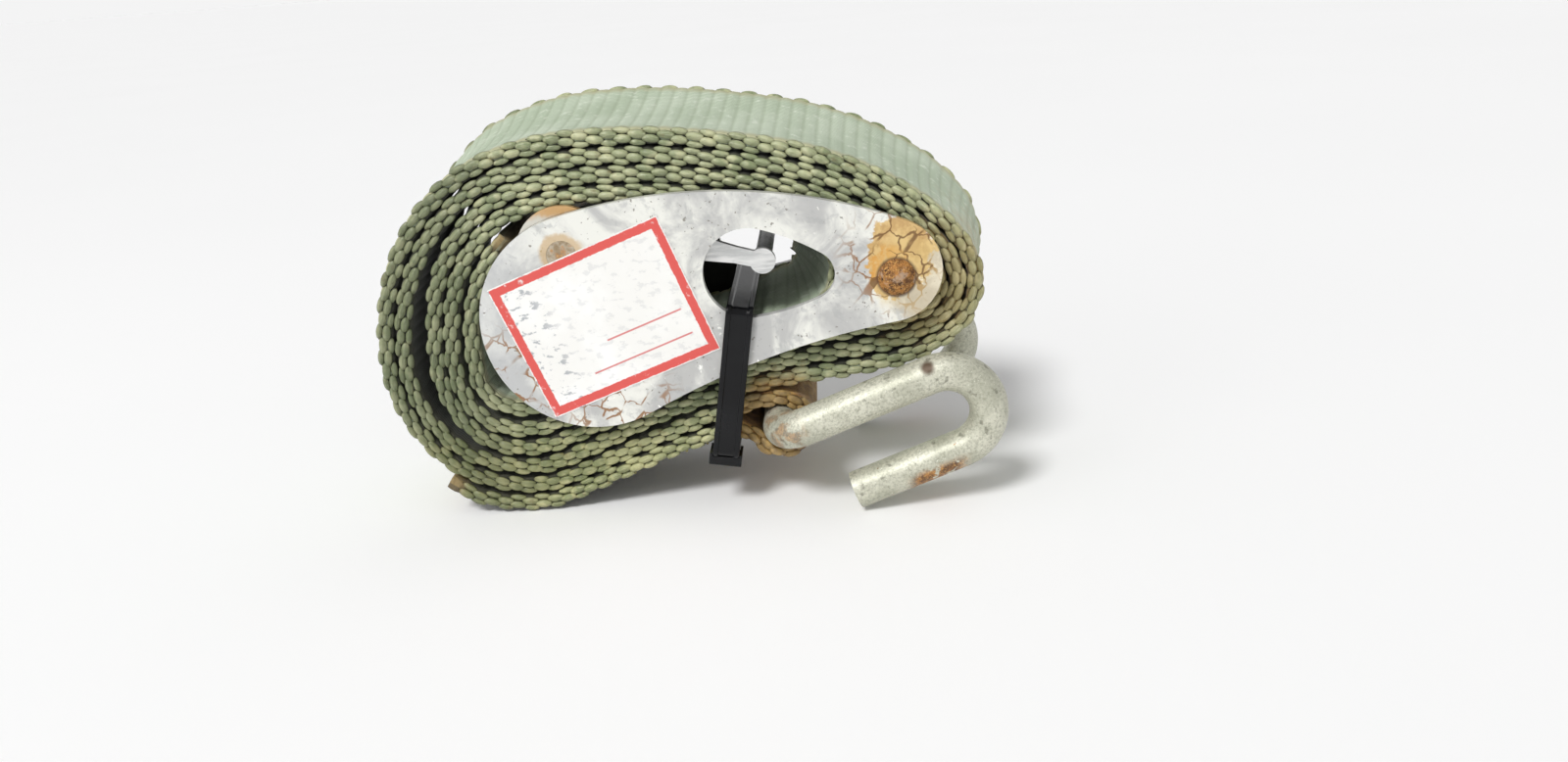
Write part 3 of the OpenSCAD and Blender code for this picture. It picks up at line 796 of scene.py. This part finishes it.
# ---------------------------------------------------------------- materials of the CAD pieces
plate = plate_material()
rusty = rusty_material()
plated = worn_metal("plated_steel", srgb(112, 108, 98), srgb(168, 164, 152), 0.4, 0.75, 420, 0.5)
lever = lever_material()
bronze = worn_metal("bearing_bronze", srgb(132, 100, 56), srgb(176, 142, 88), 0.4, 0.7, 600)
looks = {
    "front_side_plate": plate, "rear_side_plate": plate,
    "anchor_pin": rusty_material("rusty_pin", 0.1), "anchor_washers": rusty, "anchor_roller": rusty,
    "lever_pin": worn_metal("pin_steel", srgb(150, 130, 100), srgb(196, 186, 168), 0.45, 0.4, 500, 0.8),
    "lever_shims": plated, "release_lever_front": lever, "release_lever_rear": lever,
    "lever_cross_bar": worn_metal("bar_alloy", srgb(168, 170, 170), srgb(214, 214, 212), 0.3, 0.8, 500),
    "locking_pawl": plated, "drum_half_upper": plated, "drum_half_lower": plated,
    "lever_spring": worn_metal("spring_wire", srgb(92, 90, 86), srgb(140, 136, 128), 0.35, 0.85, 900, 0.3),
    "ratchet_wheel_front": plated, "ratchet_wheel_rear": plated,
    "drum_bush_front": bronze, "drum_bush_rear": bronze,
    "loop_stitching": thread_material(), "double_hook": zinc_material(),
    "cable_tie_head": nylon, "inspection_label": label_material(),
}
for name, look in looks.items():
    mesh = NODES[name].data
    mesh.materials.clear()
    mesh.materials.append(look)
for name in ("front_side_plate", "rear_side_plate"):
    bevel(NODES[name], 0.45, 3)
for name in ("release_lever_front", "release_lever_rear", "cable_tie_head"):
    bevel(NODES[name], 0.3)


# ---------------------------------------------------------------- stage and light
FLOOR_HALF = 60
FLOOR_Z = -0.5 * MM
SKY_AT_HORIZON = 0.905
SKY_OVERHEAD = 0.45


def add_floor():
    corners = [(x * FLOOR_HALF, y * FLOOR_HALF, FLOOR_Z) for x, y in ((-1, -1), (1, -1), (1, 1), (-1, 1))]
    floor = add_mesh("floor", corners, [(0, 1, 2, 3)])
    m = Shader("floor_white", 0.9)
    m.colour(m.mix(m.noise(3, 2), srgb(250, 250, 250), srgb(253, 253, 253)))
    floor.data.materials.append(m.material)


def add_sky():
    """A studio as pale as the floor at the horizon and dimmer overhead."""
    world = bpy.data.worlds.new("studio")
    world.use_nodes = True
    nodes, links = world.node_tree.nodes, world.node_tree.links
    height = nodes.new("ShaderNodeSeparateXYZ")
    links.new(nodes.new("ShaderNodeTexCoord").outputs["Generated"], height.inputs[0])
    shade = nodes.new("ShaderNodeMapRange")
    shade.inputs["From Min"].default_value = 0.05
    shade.inputs["From Max"].default_value = 0.3
    shade.inputs["To Min"].default_value = SKY_AT_HORIZON
    shade.inputs["To Max"].default_value = SKY_OVERHEAD
    links.new(height.outputs["Z"], shade.inputs["Value"])
    nodes["Background"].inputs["Color"].default_value = (1, 1, 1, 1)
    links.new(shade.outputs["Result"], nodes["Background"].inputs["Strength"])
    bpy.context.scene.world = world


def add_light(name, kind, energy, aim, at=(0, 0, 0)):
    data = bpy.data.lights.new(name, kind)
    data.energy = energy
    obj = bpy.data.objects.new(name, data)
    obj.location = at
    obj.rotation_euler = Vector(aim).to_track_quat("-Z", "Y").to_euler()
    bpy.context.scene.collection.objects.link(obj)
    return data


add_floor()
add_sky()
bpy.context.scene.view_settings.view_transform = "Standard"
key = add_light("key", "SUN", 2.0, aim=(0.35, 0.62, -0.85))
key.angle = math.radians(16)
fill = add_light("fill", "AREA", 0.8, aim=(0.7, 0.6, -0.4), at=(-0.7, -0.6, 0.45))
fill.shape = "DISK"
fill.size = 0.5
